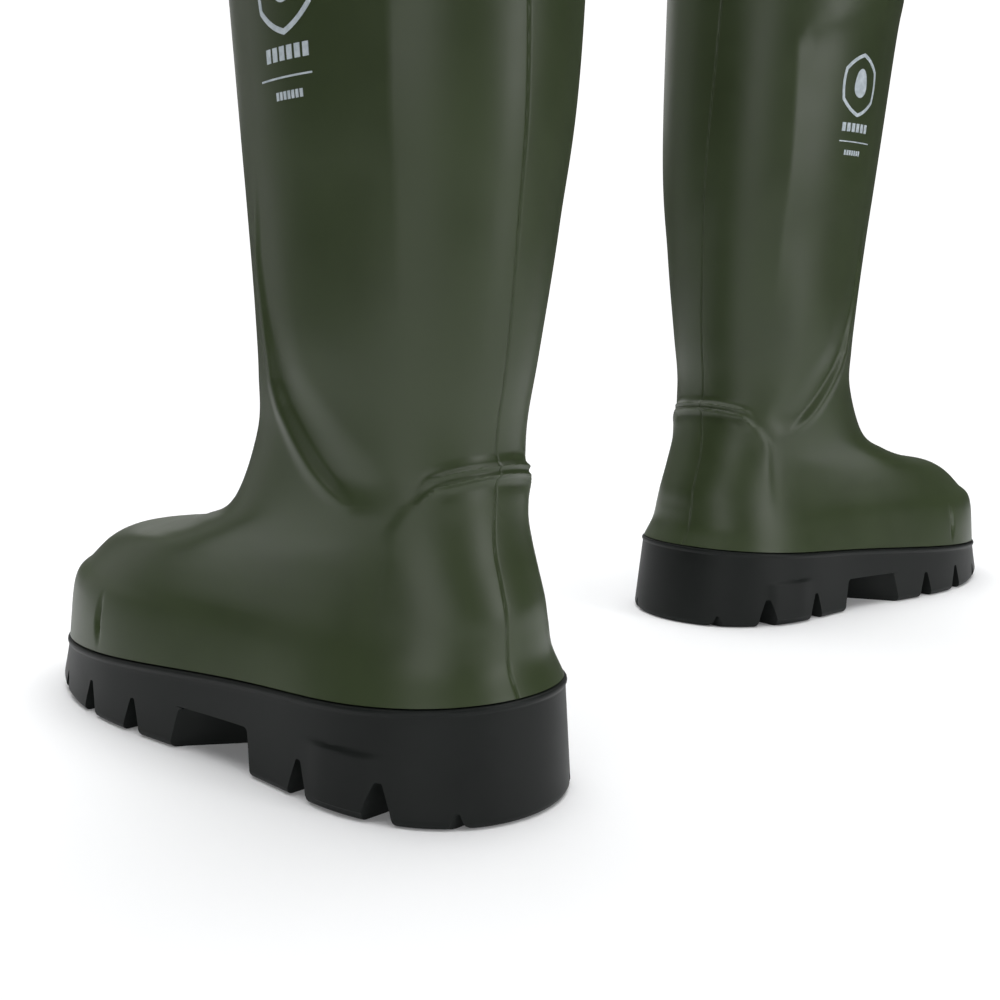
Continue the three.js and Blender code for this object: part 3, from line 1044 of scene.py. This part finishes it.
def badge_ring(bm):
    inner = bmesh.ops.create_circle(bm, segments=96, radius=BADGE_RADIUS * 0.88)["verts"]
    outer = bmesh.ops.create_circle(bm, segments=96, radius=BADGE_RADIUS)["verts"]
    for vertex in inner + outer:
        vertex.co *= hexagon(math.atan2(vertex.co.y, vertex.co.x) + math.pi / 6)
    bmesh.ops.bridge_loops(bm, edges=list({e for v in inner + outer for e in v.link_edges}))
    bmesh.ops.translate(bm, verts=inner + outer, vec=(PRINT_X, BADGE_Z, 0))


def badge_drop(bm):
    disc = bmesh.ops.create_circle(bm, cap_ends=True, cap_tris=True, segments=64,
                                   radius=DROP_RADIUS)["verts"]
    spokes = {e for v in disc for e in v.link_edges if len(v.link_edges) > 4}
    bmesh.ops.subdivide_edges(bm, edges=list(spokes), cuts=3)
    for vertex in bm.verts:
        vertex.co *= drop(math.atan2(vertex.co.y, vertex.co.x))
        vertex.co += Vector((PRINT_X, BADGE_Z - 0.0008, 0))


def bar(bm, x, z, width, height, cuts=24):
    grid = bmesh.ops.create_grid(bm, x_segments=cuts, y_segments=3, size=0.5)["verts"]
    bmesh.ops.scale(bm, verts=grid, vec=(width, height, 1))
    bmesh.ops.translate(bm, verts=grid, vec=(x, z, 0))


def row_of_blocks(bm, z, count, spacing, width, height):
    for i in range(count):
        bar(bm, PRINT_X + (i - (count - 1) / 2) * spacing, z, width, height, cuts=4)


def shaft_print(rise):
    """The shapes drawn flat, thickened and then laid on the shaft."""
    bm = bmesh.new()
    badge_drop(bm)
    badge_ring(bm)
    bar(bm, PRINT_X + LINE_AHEAD, LINE_Z, LINE_WIDTH, LINE_HEIGHT)
    for row in BLOCK_ROWS:
        row_of_blocks(bm, *row)
    under = bm.verts[:]
    pulled = bmesh.ops.extrude_face_region(bm, geom=bm.faces[:])["geom"]
    above = {v for v in pulled if isinstance(v, bmesh.types.BMVert)}
    for vertex in under + list(above):
        lift = PRINT_LIFT if vertex in above else PRINT_SUNK
        vertex.co = on_shaft(vertex.co.x, vertex.co.y + rise, lift)
    bmesh.ops.recalc_face_normals(bm, faces=bm.faces)
    return bm


def print_ink():
    ink = Finish("pale_print", Roughness=0.45)
    wear = ink.noise(400, 4)
    ink.drive("Base Color", ink.ramp(wear, (0.3, (0.40, 0.46, 0.50)), (0.7, (0.56, 0.62, 0.66))))
    return ink.material


INK = print_ink()
for side, rise in PRINT_RISE.items():
    set_down("shaft_print", shaft_print(rise), INK, (), body="shaft", sides=(side,))

# %% [markdown]
# ## Floor, backdrop and light
# A product table: a pale floor, an even white surround and large soft boxes. The surround is a
# dome that only the camera sees, so that it doesn't fill the boots' dark gloss with white.

# %% Floor and surround
def plain_finish(name, colour, glow=0.0):
    plain = Finish(name, Base_Color=(*colour, 1), Roughness=0.9, Specular_IOR_Level=0.1)
    if glow:
        plain.shader.inputs["Emission Color"].default_value = (*colour, 1)
        plain.shader.inputs["Emission Strength"].default_value = glow
    return plain.material


def stage_piece(name, bm, finish):
    mesh = bpy.data.meshes.new(name)
    bm.to_mesh(mesh)
    bm.free()
    mesh.materials.append(finish)
    piece = bpy.data.objects.new(name, mesh)
    bpy.context.collection.objects.link(piece)
    return piece


def floor():
    bm = bmesh.new()
    bmesh.ops.create_circle(bm, cap_ends=True, segments=96, radius=1.05)
    return stage_piece("floor", bm, plain_finish("floor_white", (0.94, 0.945, 0.955), glow=0.07))


def surround():
    bm = bmesh.new()
    bmesh.ops.create_uvsphere(bm, u_segments=48, v_segments=24, radius=12)
    dome = stage_piece("surround", bm, plain_finish("surround_white", (1, 1, 1), glow=1.0))
    for ray in ("visible_diffuse", "visible_glossy", "visible_shadow", "visible_transmission"):
        setattr(dome, ray, False)
    return dome


floor()
surround()
print("floor and surround")

# %% [markdown]
# ## Soft boxes
# Satin polyurethane shows its shape by what it mirrors. A box ahead and to the left lights the
# shaft up to the panel's crease, a narrow one on the right runs down beside the parting line, and
# a backdrop behind the boots gives the toes their pale sheen.

# %% Soft boxes
def soft_box(name, place, aim, width, height, power):
    data = bpy.data.lights.new(name, "AREA")
    data.shape = "RECTANGLE"
    data.size, data.size_y = width, height
    data.energy = power
    light = bpy.data.objects.new(name, data)
    light.location = place
    light.rotation_euler = (Vector(aim) - Vector(place)).to_track_quat("-Z", "Y").to_euler()
    bpy.context.collection.objects.link(light)


soft_box("overhead", (0, 0.3, 2.4), (0, 0, 0), 2.6, 2.6, 80)
soft_box("right_strip", (2.2, -1.5, 0.9), (0, 0, 0.25), 0.7, 1.9, 22)
soft_box("left_front", (-0.98, -3, 0.9), (0, 0, 0.25), 1.9, 1.9, 22)
soft_box("left_back", (-2.2, 1.2, 0.9), (0, 0, 0.2), 1.6, 1.9, 4)
soft_box("backdrop", (-0.6, 3.6, 1.5), (0, 0, 0.2), 3, 1.6, 16)

world = bpy.data.worlds.new("studio")
world.use_nodes = True
world.node_tree.nodes["Background"].inputs["Color"].default_value = (1, 1, 1, 1)
world.node_tree.nodes["Background"].inputs["Strength"].default_value = 0.09
bpy.context.scene.world = world
bpy.context.scene.view_settings.view_transform = "Standard"
print("five soft boxes")
